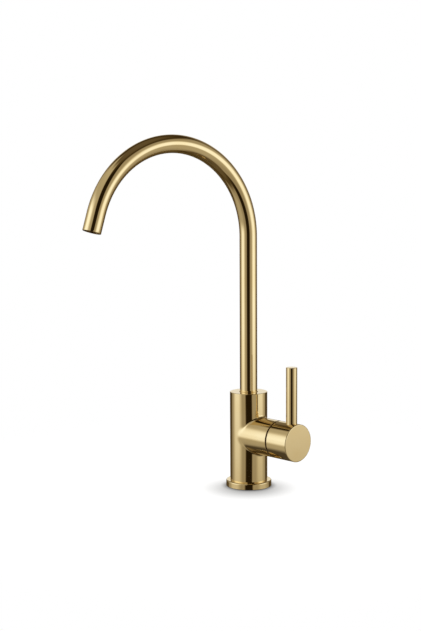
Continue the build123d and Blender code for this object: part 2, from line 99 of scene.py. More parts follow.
# Nodes by finish
GOLD_NODES = ("base_flange", "handle_cap", "lever_rod", "spout_collar")
VALVE_BRASS_NODES = ("cartridge_housing", "spindle", "stop_ring")
RUBBER_NODES = (
    "base_seal",
    "housing_o_ring",
    "cartridge_seat_seal",
    "spindle_o_ring_inner",
    "spindle_o_ring_outer",
    "spout_o_ring_lower",
    "spout_o_ring_upper",
    "straightener_seal",
)
DARK_PLASTIC_NODES = ("handle_glide_ring", "flow_straightener")
PALE_PLASTIC_NODES = ("thrust_washer", "spout_bush_lower", "spout_bush_upper")
CERAMIC_NODES = ("fixed_disc", "moving_disc")
STEEL_NODES = ("spindle_clip", "spout_retaining_screw", "handle_grub_screw", "outlet_screen")

# Metres: height of the branch's middle
BRANCH_HEIGHT = 0.049
# Turned pieces: the middle of their rings, and how a pattern that runs round Z is turned to their axis
COLUMN_AXIS = ((0.0, 0.0, 0.0), (0.0, 0.0, 0.0))
BRANCH_AXIS = ((0.0, 0.0, BRANCH_HEIGHT), (0.0, pi / 2, 0.0))

# Share of the gold's colour that its buffing cloud leaves
GOLD_CLOUD = (0.985, 0.965, 0.92)
# Colours of the other finishes: pairs from the clean tone to the shaded one, and what lies over them
BRASS = ((0.80, 0.59, 0.29), (0.72, 0.51, 0.23))
BRASS_TARNISH = (0.42, 0.26, 0.12)
RUBBER = ((0.016, 0.015, 0.014), (0.024, 0.023, 0.021))
RUBBER_BLOOM = (0.09, 0.085, 0.08)
DARK_PLASTIC = ((0.026, 0.011, 0.003), (0.031, 0.014, 0.004))
PALE_PLASTIC = ((0.80, 0.79, 0.74), (0.74, 0.73, 0.67))
CERAMIC = ((0.84, 0.825, 0.77), (0.80, 0.78, 0.72))
CERAMIC_PORE = (0.52, 0.50, 0.45)
STEEL = ((0.60, 0.59, 0.575), (0.50, 0.49, 0.475))
# How much of the tarnish, the bloom and the pores shows where it is strongest
TARNISH_SHARE = 0.55
BLOOM_SHARE = 0.4
PORE_SHARE = 0.5
# Metres: depth of the fine relief on metal, plastic and ceramic, and on rubber
FINE_RELIEF = 0.00001
RUBBER_RELIEF = 0.00002
# The pipe's bore and its cut end are darker than clean brass: their brightness beside it
BORE_LEVEL = 0.4
# Where the branch runs into the side of the column: middle of the place, and how far from it the crease is
# buffed fully soft and no longer soft, in metres
SOFT_CREASE = (0.004, BRANCH_HEIGHT)
SOFT_REACH = (0.014, 0.007)
CREASE_SAMPLES = 16

# Soft panels round the tap, as the polished metal sees them. In degrees: left and right edge from the
# camera (left negative), lower and upper edge from the horizon, then how soft the sides, the lower and
# the upper edge are, and last how bright the panel is
PANELS = (
    # left softbox and the wall round it
    (-101, -54, -12.2, 32, 16, 7, 9, 0.74),
    (-104, -50, -46, -12, 14, 8, 6, 0.14),
    (-137, -20.5, 4, 41, 5, 7, 5, 0.46),
    (-124, -20.5, 41, 67, 6, 5, 7, 0.46),
    (-126, -21.7, -13, 4, 5, 5, 7, 0.37),
    (-126, -21.7, -28, -13, 5, 6, 5, 0.32),
    (-114, -21.7, -56, -28, 6, 8, 6, 0.31),
    # right softbox and the wall round it
    (52, 99, -11, 21, 15, 6, 8, 0.76),
    (52, 98, -50, -12, 14, 8, 6, 0.12),
    (18.5, 121, -13, 46, 4, 5, 7, 0.39),
    (18.5, 121, -60, -13, 4, 8, 5, 0.34),
)
# Panels straight behind the tap, each the same to both sides: outer edge, lower and upper edge, how soft
# the sides, the lower and the upper edge are, and brightness
REAR_PANELS = (
    # dim far wall
    (56, -55, -8, 8, 8, 6, 0.10),
    (56, -8, 42, 8, 6, 8, 0.20),
    # pale backdrop
    (20, 3, 22, 4, 3, 4, 0.89),
)
# Level of the dim room above and below the panels
ROOM_HEIGHTS = (
    (-90, 0.12),
    (-72, 0.12),
    (-58, 0.06),
    (-45, 0.018),
    (45, 0.018),
    (56, 0.06),
    (68, 0.12),
    (90, 0.13),
)
# Tint of the studio by its level: dim parts are warm and lit parts cool
STUDIO_TINTS = (
    (0.015, (1.0, 0.62, 0.22)),
    (0.07, (1.0, 0.69, 0.26)),
    (0.13, (1.0, 0.77, 0.47)),
    (0.23, (1.0, 0.84, 0.61)),
    (0.35, (1.0, 0.89, 0.70)),
    (0.5, (1.0, 0.92, 0.74)),
    (0.67, (1.0, 0.943, 0.825)),
    (0.83, (1.0, 0.98, 0.92)),
    (1.0, (1.0, 1.01, 1.0)),
    (1.2, (1.0, 1.06, 1.15)),
)
TOP_LEVEL = 1.2
# In degrees: how far the left and the right edge of the dark gap behind the camera lean to the right, and
# the heights between which they come to lean
LEFT_LEAN = 9.0
RIGHT_LEAN = 17.0
GAP_LEAN_START = -2.0
GAP_LEAN_END = 15.0


class FilterTapMetal(bpy.types.PropertyGroup):
    """Colour and polish of the gold metal."""

    colour: FloatVectorProperty(
        name="Gold colour",
        description="Base colour of the polished gold metal",
        subtype="COLOR",
        size=3,
        min=0.0,
        max=1.0,
        default=(0.86, 0.70, 0.40),
    )
    roughness: FloatProperty(
        name="Polish roughness",
        description="Roughness of the clean polished metal",
        subtype="FACTOR",
        min=0.0,
        max=1.0,
        default=0.035,
    )
    crease_radius: FloatProperty(
        name="Crease softness",
        description="How far the crease between branch and column is buffed soft",
        subtype="DISTANCE",
        unit="LENGTH",
        default=0.0045,
    )


class FilterTapSpout(bpy.types.PropertyGroup):
    """Sizes of the gooseneck pipe."""

    pipe_radius: FloatProperty(
        name="Pipe radius",
        description="Outer radius of the gooseneck pipe",
        subtype="DISTANCE",
        unit="LENGTH",
        default=0.008,
    )
    pipe_wall: FloatProperty(
        name="Pipe wall",
        description="Thickness of the pipe's wall",
        subtype="DISTANCE",
        unit="LENGTH",
        default=0.0015,
    )
    foot_height: FloatProperty(
        name="Pipe foot",
        description="Height at which the pipe starts, inside the column",
        subtype="DISTANCE",
        unit="LENGTH",
        default=0.0865,
    )
    bend_start: FloatProperty(
        name="Bend start",
        description="Height at which the straight riser ends",
        subtype="DISTANCE",
        unit="LENGTH",
        default=0.2315,
    )
    bend_radius: FloatProperty(
        name="Bend radius",
        description="Radius of the gooseneck's bend, at the pipe's middle",
        subtype="DISTANCE",
        unit="LENGTH",
        default=0.0825,
    )
    bend_angle: FloatProperty(
        name="Bend angle",
        description="How far round the bend goes",
        subtype="ANGLE",
        unit="ROTATION",
        default=radians(163.0),
    )
    outlet_length: FloatProperty(
        name="Straight outlet",
        description="Length of the straight end after the bend",
        subtype="DISTANCE",
        unit="LENGTH",
        default=0.0165,
    )
    heading: FloatProperty(
        name="Spout heading",
        description="Direction in which the spout points at rest, from +X",
        subtype="ANGLE",
        unit="ROTATION",
        default=radians(-96.0),
    )
    mouth_edge_radius: FloatProperty(
        name="Mouth edge",
        description="Radius of the rounded edge at the pipe's mouth",
        subtype="DISTANCE",
        unit="LENGTH",
        default=0.0003,
    )
    sides: IntProperty(
        name="Sides",
        description="Number of faces round the pipe",
        default=96,
        min=12,
    )
    bend_steps: IntProperty(
        name="Bend steps",
        description="Number of faces along the bend",
        default=96,
        min=12,
    )


class FilterTapStudio(bpy.types.PropertyGroup):
    """Camera, floor and light."""

    camera_place: FloatVectorProperty(
        name="Camera place",
        description="Where the camera stands",
        subtype="TRANSLATION",
        unit="LENGTH",
        size=3,
        default=(0.7971, -0.7848, 0.2794),
    )
    camera_heading: FloatProperty(
        name="Camera heading",
        description="Turn of the camera about the vertical",
        subtype="ANGLE",
        default=radians(47.23),
    )
    camera_dip: FloatProperty(
        name="Camera dip",
        description="How far the camera looks down",
        subtype="ANGLE",
        default=radians(6.141),
    )
    camera_roll: FloatProperty(
        name="Camera roll",
        description="Turn of the camera about its own line of sight",
        subtype="ANGLE",
        default=radians(-0.328),
    )
    floor_reach: FloatProperty(
        name="Floor reach",
        description="How far the floor runs before it fades into the white",
        subtype="DISTANCE",
        unit="LENGTH",
        default=0.4,
    )
    # Reach of the painted contact shade at the foot
    line_reach: FloatProperty(
        name="Contact shade",
        description="How far the dark line at the foot reaches over the floor",
        subtype="DISTANCE",
        unit="LENGTH",
        default=0.006,
    )
    key_power: FloatProperty(
        name="Overhead light",
        description="Power of the soft light over the tap",
        unit="POWER",
        default=28.0,
    )


def spout():
    """Sizes of the gooseneck."""
    return bpy.context.scene.filter_tap_spout


def metal():
    """Settings of the gold metal."""
    return bpy.context.scene.filter_tap_metal


def studio():
    """Settings of the studio."""
    return bpy.context.scene.filter_tap_studio


class Graph:
    """Adds nodes to one node tree and joins them."""

    def __init__(self, tree):
        self.tree = tree

    def add(self, kind, inputs=(), **settings):
        """Adds a node, sets its properties, and fills inputs with values or with other sockets."""
        node = self.tree.nodes.new(kind)
        for name, value in settings.items():
            setattr(node, name, value)
        for key, value in dict(inputs).items():
            self.fill(node.inputs[key], value)
        return node

    def fill(self, socket, value):
        """Gives an input a value, or links another node's output to it."""
        if isinstance(value, bpy.types.NodeSocket):
            self.tree.links.new(value, socket)
        else:
            socket.default_value = value

    def math(self, operation, first, second=0.0, third=0.0):
        """A Math node's result."""
        inputs = {0: first, 1: second, 2: third}
        return self.add("ShaderNodeMath", inputs, operation=operation).outputs[0]

    def span(self, value, low, high, to_low=0.0, to_high=1.0, kind="LINEAR"):
        """A Map Range node's result."""
        inputs = {0: value, 1: low, 2: high, 3: to_low, 4: to_high}
        return self.add("ShaderNodeMapRange", inputs, interpolation_type=kind).outputs[0]

    def noise(self, place, scale, detail, roughness):
        """A Noise Texture's value."""
        inputs = {"Vector": place, "Scale": scale, "Detail": detail, "Roughness": roughness}
        return self.add("ShaderNodeTexNoise", inputs).outputs[0]

    def blend(self, factor, first, second):
        """A mix of two colours, each given as a colour or as another node's colour."""
        ends = [end if isinstance(end, bpy.types.NodeSocket) else (*end, 1.0) for end in (first, second)]
        node = self.add("ShaderNodeMix", data_type="RGBA")
        for number, value in zip(COLOUR_MIX_INPUTS, (factor, *ends)):
            self.fill(node.inputs[number], value)
        return node.outputs[COLOUR_MIX_RESULT]

    def bump(self, height, strength, depth):
        """A normal from a height, for relief that is depth metres deep."""
        inputs = {"Height": height, "Strength": strength, "Distance": depth}
        return self.add("ShaderNodeBump", inputs).outputs[0]

    def shade(self, reach, mapping):
        """Painted shade: how bright a place is that has other pieces within reach."""
        near = self.add("ShaderNodeAmbientOcclusion", {"Distance": reach}, samples=SHADE_SAMPLES)
        return self.span(near.outputs["AO"], *mapping)

    def join(self, source, target):
        """Links two sockets."""
        self.tree.links.new(source, target)

    def ramp(self, factor, stops):
        """A Color Ramp's result, from stops of place and level or colour."""
        node = self.add("ShaderNodeValToRGB", {0: factor})
        elements = node.color_ramp.elements
        while len(elements) < len(stops):
            elements.new(1.0)
        for element, (place, level) in zip(elements, stops):
            colour = level if isinstance(level, tuple) else (level, level, level)
            element.position = place
            element.color = (*colour, 1.0)
        return node.outputs[0]


def fresh_material(name):
    """An empty material and the graph of its nodes."""
    material = bpy.data.materials.new(name)
    material.use_nodes = True
    material.node_tree.nodes.clear()
    return material, Graph(material.node_tree)


def fresh_group(name, inputs, outputs):
    """An empty shader node group with the named sockets, as a graph with its two ends."""
    tree = bpy.data.node_groups.new(name, "ShaderNodeTree")
    for socket, kind, default in inputs:
        made = tree.interface.new_socket(socket, in_out="INPUT", socket_type=kind)
        if default is not None:
            made.default_value = default
    for socket, kind in outputs:
        tree.interface.new_socket(socket, in_out="OUTPUT", socket_type=kind)
    graph = Graph(tree)
    start = graph.add("NodeGroupInput").outputs
    end = graph.add("NodeGroupOutput").inputs
    return graph, start, end


def make_buffed_surface():
    """Faint cloudiness and fine hairlines that a buffed metal surface keeps."""
    graph, start, end = fresh_group(
        "Buffed surface",
        [
            ("Vector", "NodeSocketVector", None),
            ("Clean", "NodeSocketFloat", 0.05),
            ("Cloudy", "NodeSocketFloat", 0.03),
            ("Cloud Scale", "NodeSocketFloat", 60.0),
            ("Hairline Scale", "NodeSocketFloat", 900.0),
        ],
        [("Roughness", "NodeSocketFloat"), ("Height", "NodeSocketFloat"), ("Mask", "NodeSocketFloat")],
    )
    cloud = graph.noise(start["Vector"], start["Cloud Scale"], 3.0, 0.5)
    hairline = graph.noise(start["Vector"], start["Hairline Scale"], 2.0, 0.6)
    mask = graph.span(cloud, 0.35, 0.7, kind="SMOOTHSTEP")
    graph.join(graph.math("MULTIPLY_ADD", mask, start["Cloudy"], start["Clean"]), end["Roughness"])
    graph.join(hairline, end["Height"])
    graph.join(mask, end["Mask"])
    return graph.tree


def make_turned_rings():
    """Rings that a lathe leaves: round the axis on the sides and round the middle on the faces."""
    graph, start, end = fresh_group(
        "Turned rings",
        [
            ("Vector", "NodeSocketVector", None),
            ("Pitch", "NodeSocketFloat", 0.0002),
            ("Wander", "NodeSocketFloat", 0.00004),
        ],
        [("Height", "NodeSocketFloat"), ("Tone", "NodeSocketFloat")],
    )
    parts = graph.add("ShaderNodeSeparateXYZ", {0: start["Vector"]}).outputs
    flat = graph.add("ShaderNodeCombineXYZ", {0: parts[0], 1: parts[1]}).outputs[0]
    radius = graph.add("ShaderNodeVectorMath", {0: flat}, operation="LENGTH").outputs["Value"]
    travel = graph.math("ADD", radius, parts[2])
    wander = graph.math("MULTIPLY", graph.noise(start["Vector"], 400.0, 2.0, 0.5), start["Wander"])
    turns = graph.math("DIVIDE", graph.math("ADD", travel, wander), start["Pitch"])
    wave = graph.math("SINE", graph.math("MULTIPLY", turns, 2 * pi))
    coarse = graph.add(
        "ShaderNodeTexNoise", {"W": turns, "Scale": 0.23, "Detail": 2.0}, noise_dimensions="1D"
    )
    graph.join(graph.span(wave, -1.0, 1.0), end["Height"])
    graph.join(graph.span(coarse.outputs[0], 0.35, 0.65), end["Tone"])
    return graph.tree


def make_moulded_grain():
    """The fine grain that a mould gives plastic and rubber, with slow flow marks over it."""
    graph, start, end = fresh_group(
        "Moulded grain",
        [
            ("Vector", "NodeSocketVector", None),
            ("Grain Scale", "NodeSocketFloat", 6000.0),
            ("Flow Scale", "NodeSocketFloat", 120.0),
            ("Matt", "NodeSocketFloat", 0.5),
            ("Spread", "NodeSocketFloat", 0.15),
        ],
        [("Roughness", "NodeSocketFloat"), ("Height", "NodeSocketFloat"), ("Flow", "NodeSocketFloat")],
    )
    grain = graph.noise(start["Vector"], start["Grain Scale"], 2.0, 0.55)
    drawn = graph.add("ShaderNodeMapping", {"Vector": start["Vector"], "Scale": (1.0, 1.0, 3.0)})
    stretched = drawn.outputs[0]
    flow = graph.span(graph.noise(stretched, start["Flow Scale"], 3.0, 0.6), 0.3, 0.7, kind="SMOOTHSTEP")
    graph.join(graph.math("MULTIPLY_ADD", flow, start["Spread"], start["Matt"]), end["Roughness"])
    graph.join(grain, end["Height"])
    graph.join(flow, end["Flow"])
    return graph.tree


def make_speckle():
    """Small pits or grains scattered over a surface, as pores in ceramic or bloom on rubber."""
    graph, start, end = fresh_group(
        "Speckle",
        [
            ("Vector", "NodeSocketVector", None),
            ("Scale", "NodeSocketFloat", 3000.0),
            ("Size", "NodeSocketFloat", 0.2),
            ("Patch Scale", "NodeSocketFloat", 150.0),
        ],
        [("Mask", "NodeSocketFloat")],
    )
    cells = graph.add("ShaderNodeTexVoronoi", {"Vector": start["Vector"], "Scale": start["Scale"]}).outputs
    dots = graph.math("SUBTRACT", 1.0, graph.span(cells["Distance"], 0.0, start["Size"], kind="SMOOTHSTEP"))
    patches = graph.span(graph.noise(start["Vector"], start["Patch Scale"], 2.0, 0.5), 0.4, 0.65)
    graph.join(graph.math("MULTIPLY", dots, patches), end["Mask"])
    return graph.tree


EFFECTS = {
    "Buffed surface": make_buffed_surface,
    "Turned rings": make_turned_rings,
    "Moulded grain": make_moulded_grain,
    "Speckle": make_speckle,
}


def effect(graph, name, inputs):
    """Places a shared effect in a material, and makes its group the first time."""
    tree = bpy.data.node_groups.get(name) or EFFECTS[name]()
    return graph.add("ShaderNodeGroup", inputs, node_tree=tree).outputs


def object_place(graph):
    """Places on the piece, in metres from the tap's origin."""
    return graph.add("ShaderNodeTexCoord").outputs["Object"]


def turned_place(graph, axis):
    """Places on a turned piece, with Z along its axis."""
    middle, turn = axis
    inputs = {"Vector": object_place(graph), "Location": middle, "Rotation": turn}
    return graph.add("ShaderNodeMapping", inputs, vector_type="TEXTURE").outputs[0]


def surface(graph, inputs):
    """Ends a material with its surface."""
    shader = graph.add("ShaderNodeBsdfPrincipled", inputs)
    graph.add("ShaderNodeOutputMaterial", {"Surface": shader.outputs[0]})


def soften_crease(graph, place):
    """The surface's normal, evened out where the branch runs into the column's side."""
    middle_x, middle_z = SOFT_CREASE
    parts = graph.add("ShaderNodeSeparateXYZ", {0: place}).outputs
    along = graph.math("SUBTRACT", parts[0], middle_x)
    up = graph.math("SUBTRACT", parts[2], middle_z)
    away = graph.add("ShaderNodeCombineXYZ", {0: along, 2: up}).outputs[0]
    distance = graph.add("ShaderNodeVectorMath", {0: away}, operation="LENGTH").outputs["Value"]
    softness = graph.span(distance, *SOFT_REACH, kind="SMOOTHSTEP")
    plain = graph.add("ShaderNodeNewGeometry").outputs["Normal"]
    even = graph.add("ShaderNodeBevel", {"Radius": metal().crease_radius}, samples=CREASE_SAMPLES).outputs[0]
    mix = graph.add("ShaderNodeMix", data_type="VECTOR")
    for number, value in zip(VECTOR_MIX_INPUTS, (softness, plain, even)):
        graph.fill(mix.inputs[number], value)
    blended = mix.outputs[VECTOR_MIX_RESULT]
    return graph.add("ShaderNodeVectorMath", {0: blended}, operation="NORMALIZE").outputs[0]


def make_gold(name, soft_crease=False):
    """Polished gold: a mirror finish with a trace of buffing cloud."""
    material, graph = fresh_material(name)
    place = object_place(graph)
    buffed = effect(
        graph,
        "Buffed surface",
        {"Vector": place, "Clean": metal().roughness, "Cloudy": 0.015, "Cloud Scale": 45.0},
    )
    colour = metal().colour
    deeper = tuple(part * share for part, share in zip(colour, GOLD_CLOUD))
    tone = graph.blend(buffed["Mask"], colour, deeper)
    inputs = {"Base Color": tone, "Metallic": 1.0, "Roughness": buffed["Roughness"]}
    if soft_crease:
        inputs["Normal"] = soften_crease(graph, place)
    surface(graph, inputs)
    return material


def make_brass(name, axis, level=1.0):
    """Turned brass: lathe rings, and brown tarnish where it is handled. The level dims its colours."""
    clean, shaded, tarnished = (
        tuple(level * part for part in colour) for colour in (*BRASS, BRASS_TARNISH)
    )
    material, graph = fresh_material(name)
    place = turned_place(graph, axis)
    rings = effect(graph, "Turned rings", {"Vector": place, "Pitch": 0.00022, "Wander": 0.00004})
    buffed = effect(
        graph, "Buffed surface", {"Vector": place, "Clean": 0.2, "Cloudy": 0.16, "Cloud Scale": 110.0}
    )
    bright = graph.blend(rings["Tone"], clean, shaded)
    tone = graph.blend(graph.math("MULTIPLY", buffed["Mask"], TARNISH_SHARE), bright, tarnished)
    relief = graph.bump(rings["Height"], 0.25, FINE_RELIEF)
    surface(
        graph, {"Base Color": tone, "Metallic": 1.0, "Roughness": buffed["Roughness"], "Normal": relief}
    )
    return material


def make_rubber():
    """Black seal rubber: matt, with a grey bloom in specks and patches."""
    material, graph = fresh_material("rubber_finish")
    place = object_place(graph)
    grain = effect(
        graph,
        "Moulded grain",
        {"Vector": place, "Grain Scale": 5000.0, "Flow Scale": 160.0, "Matt": 0.55, "Spread": 0.2},
    )
    bloom = effect(graph, "Speckle", {"Vector": place, "Scale": 2600.0, "Size": 0.45, "Patch Scale": 140.0})
    black = graph.blend(grain["Flow"], *RUBBER)
    tone = graph.blend(graph.math("MULTIPLY", bloom["Mask"], BLOOM_SHARE), black, RUBBER_BLOOM)
    relief = graph.bump(grain["Height"], 0.35, RUBBER_RELIEF)
    surface(graph, {"Base Color": tone, "Roughness": grain["Roughness"], "Normal": relief})
    return material


def make_moulded_plastic(name, colours, matt, shine):
    """Moulded plastic: an even colour with flow marks and fine grain."""
    material, graph = fresh_material(name)
    grain = effect(
        graph,
        "Moulded grain",
        {"Vector": object_place(graph), "Grain Scale": 7000.0, "Matt": matt, "Spread": 0.12},
    )
    tone = graph.blend(grain["Flow"], *colours)
    relief = graph.bump(grain["Height"], 0.2, FINE_RELIEF)
    surface(
        graph,
        {
            "Base Color": tone,
            "Roughness": grain["Roughness"],
            "Normal": relief,
            "Specular IOR Level": shine,
        },
    )
    return material


def make_ceramic():
    """Lapped alumina: ivory, with fine pores and faint lapping marks."""
    material, graph = fresh_material("ceramic_finish")
    place = object_place(graph)
    pores = effect(graph, "Speckle", {"Vector": place, "Scale": 5200.0, "Size": 0.22, "Patch Scale": 400.0})
    lapped = effect(
        graph, "Buffed surface", {"Vector": place, "Clean": 0.1, "Cloudy": 0.12, "Hairline Scale": 5000.0}
    )
    ivory = graph.blend(lapped["Mask"], *CERAMIC)
    tone = graph.blend(graph.math("MULTIPLY", pores["Mask"], PORE_SHARE), ivory, CERAMIC_PORE)
    dents = graph.math("SUBTRACT", lapped["Height"], pores["Mask"])
    relief = graph.bump(dents, 0.15, FINE_RELIEF)
    surface(graph, {"Base Color": tone, "Roughness": lapped["Roughness"], "Normal": relief})
    return material


def make_steel():
    """Plain stainless steel: brushed hairlines and a little cloud."""
    material, graph = fresh_material("steel_finish")
    place = object_place(graph)
    drawn = graph.add("ShaderNodeMapping", {"Vector": place, "Scale": (1.0, 1.0, 0.06)}).outputs[0]
    brushed = effect(
        graph,
        "Buffed surface",
        {"Vector": drawn, "Clean": 0.24, "Cloudy": 0.14, "Cloud Scale": 260.0, "Hairline Scale": 9000.0},
    )
    tone = graph.blend(brushed["Mask"], *STEEL)
    relief = graph.bump(brushed["Height"], 0.2, FINE_RELIEF)
    surface(
        graph, {"Base Color": tone, "Metallic": 1.0, "Roughness": brushed["Roughness"], "Normal": relief}
    )
    return material


def dress(nodes, material):
    """Gives CAD nodes one material."""
    for name in nodes:
        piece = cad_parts[name]
        piece.data.materials.clear()
        piece.data.materials.append(material)


def select_ring(mesh, middle, direction):
    """Selects the vertices of the open ring that lies in the plane through middle, square to direction."""
    bpy.ops.mesh.select_all(action="DESELECT")
    bpy.ops.object.mode_set(mode="OBJECT")
    for vertex in mesh.vertices:
        if abs((vertex.co - middle).dot(direction)) < NEAR and (vertex.co - middle).length < RING_REACH:
            vertex.select = True
    bpy.ops.object.mode_set(mode="EDIT")


def apply_modifier(piece, kind, name, **settings):
    """Adds a modifier, sets it and applies it."""
    modifier = piece.modifiers.new(name, kind)
    for key, value in settings.items():
        setattr(modifier, key, value)
    bpy.ops.object.modifier_apply(modifier=name)


def spout_line():
    """Lays out the pipe: the way forward, the middle and the end of the bend, and the way out of it."""
    size = spout()
    forward = Vector((cos(size.heading), sin(size.heading), 0.0))
    bend_middle = forward * size.bend_radius + UP * size.bend_start
    turned = pi - size.bend_angle
    bend_end = bend_middle + (forward * cos(turned) + UP * sin(turned)) * size.bend_radius
    outlet_direction = forward * sin(turned) - UP * cos(turned)
    return forward, bend_middle, bend_end, outlet_direction


def model_gooseneck():
    """The pipe: a ring drawn up the riser, swept round the bend and drawn out to the mouth."""
    size = spout()
    forward, bend_middle, bend_end, outlet_direction = spout_line()
    bpy.ops.object.select_all(action="DESELECT")
    bpy.ops.mesh.primitive_circle_add(
        vertices=size.sides, radius=size.pipe_radius, location=(0.0, 0.0, size.foot_height)
    )
    pipe = bpy.context.active_object
    pipe.name = "gooseneck"
    bpy.ops.object.transform_apply(location=True, rotation=True, scale=True)
    bpy.ops.object.mode_set(mode="EDIT")
    bpy.ops.mesh.select_all(action="SELECT")
    riser = size.bend_start - size.foot_height
    for run in (HOLD, riser - 2 * HOLD, HOLD):
        bpy.ops.mesh.extrude_region_move(TRANSFORM_OT_translate={"value": UP * run})
    bpy.ops.mesh.spin(
        steps=size.bend_steps, angle=size.bend_angle, center=bend_middle, axis=forward.cross(UP)
    )
    select_ring(pipe.data, bend_end, outlet_direction)
    for run in (HOLD, size.outlet_length - 2 * HOLD, HOLD):
        bpy.ops.mesh.extrude_region_move(TRANSFORM_OT_translate={"value": outlet_direction * run})
    bpy.ops.mesh.select_all(action="SELECT")
    bpy.ops.mesh.remove_doubles(threshold=NEAR)
    bpy.ops.mesh.normals_make_consistent(inside=False)
    bpy.ops.object.mode_set(mode="OBJECT")
    pipe.data.materials.append(bpy.data.materials["gold_finish"])
    pipe.data.materials.append(make_brass("bore_brass_finish", COLUMN_AXIS, level=BORE_LEVEL))
    apply_modifier(
        pipe,
        "SOLIDIFY",
        "wall",
        thickness=size.pipe_wall,
        offset=-1.0,
        use_rim=True,
        material_offset=1,
        material_offset_rim=1,
    )
    apply_modifier(
        pipe,
        "BEVEL",
        "rims",
        width=size.mouth_edge_radius,
        segments=RIM_STEPS,
        limit_method="ANGLE",
        angle_limit=RIM_ANGLE,
    )
    bpy.ops.object.shade_smooth_by_angle(angle=SMOOTH_ANGLE)
    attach(pipe, "spout")
    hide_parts("spout_pipe")


def outlet_axis():
    """A point on the outlet's axis and the turn of that axis, for the pieces in the mouth."""
    _, _, bend_end, direction = spout_line()
    return tuple(bend_end), tuple(direction.to_track_quat("Z", "Y").to_euler())


class FILTERTAP_OT_gold_shell(bpy.types.Operator):
    """Finishes the flange, the column with its branch, the turning cap, the lever and the collar"""

    bl_idname = "filter_tap.gold_shell"
    bl_label = "Gold shell"

    def execute(self, context):
        dress(GOLD_NODES, make_gold("gold_finish"))
        dress(("body",), make_gold("body_gold_finish", soft_crease=True))
        return {"FINISHED"}


class FILTERTAP_OT_gooseneck(bpy.types.Operator):
    """Models the gooseneck pipe"""

    bl_idname = "filter_tap.gooseneck"
    bl_label = "Gooseneck"

    def execute(self, context):
        model_gooseneck()
        return {"FINISHED"}


class FILTERTAP_OT_brass_parts(bpy.types.Operator):
    """Finishes the turned brass of the valve, the spout's foot and the outlet"""

    bl_idname = "filter_tap.brass_parts"
    bl_label = "Brass parts"

    def execute(self, context):
        dress(VALVE_BRASS_NODES, make_brass("valve_brass_finish", BRANCH_AXIS))
        dress(("spout_foot",), make_brass("foot_brass_finish", COLUMN_AXIS))
        dress(("outlet_bush",), make_brass("outlet_brass_finish", outlet_axis()))
        return {"FINISHED"}


class FILTERTAP_OT_seals(bpy.types.Operator):
    """Finishes the base seal, the rings and the valve's seals"""

    bl_idname = "filter_tap.seals"
    bl_label = "Rubber seals"

    def execute(self, context):
        dress(RUBBER_NODES, make_rubber())
        return {"FINISHED"}


class FILTERTAP_OT_ceramic_discs(bpy.types.Operator):
    """Finishes the two discs of the valve"""

    bl_idname = "filter_tap.ceramic_discs"
    bl_label = "Ceramic discs"

    def execute(self, context):
        dress(CERAMIC_NODES, make_ceramic())
        return {"FINISHED"}


class FILTERTAP_OT_plastic_parts(bpy.types.Operator):
    """Finishes the glide ring, the straightener, the washer and the slide rings"""

    bl_idname = "filter_tap.plastic_parts"
    bl_label = "Plastic parts"

    def execute(self, context):
        dark = make_moulded_plastic("dark_plastic_finish", DARK_PLASTIC, matt=0.65, shine=0.04)
        pale = make_moulded_plastic("pale_plastic_finish", PALE_PLASTIC, matt=0.38, shine=0.5)
        dress(DARK_PLASTIC_NODES, dark)
        dress(PALE_PLASTIC_NODES, pale)
        return {"FINISHED"}


class FILTERTAP_OT_steel_parts(bpy.types.Operator):
    """Finishes the screws, the clip and the outlet screen"""

    bl_idname = "filter_tap.steel_parts"
    bl_label = "Steel parts"

    def execute(self, context):
        dress(STEEL_NODES, make_steel())
        return {"FINISHED"}


def as_stops(bands, low, high):
    """Bands given by angle as places from 0 to 1 along a ramp."""
    return [((angle - low) / (high - low), level) for angle, level in bands]


def between(graph, angle, low, high, soft_low, soft_high):
    """How far an angle lies between two soft edges, all in degrees but the angle: 1 inside, 0 outside."""
    rise = graph.span(angle, radians(low - soft_low), radians(low + soft_low), 0.0, 1.0, "SMOOTHSTEP")
    fall = graph.span(angle, radians(high - soft_high), radians(high + soft_high), 1.0, 0.0, "SMOOTHSTEP")
    return graph.math("MULTIPLY", rise, fall)


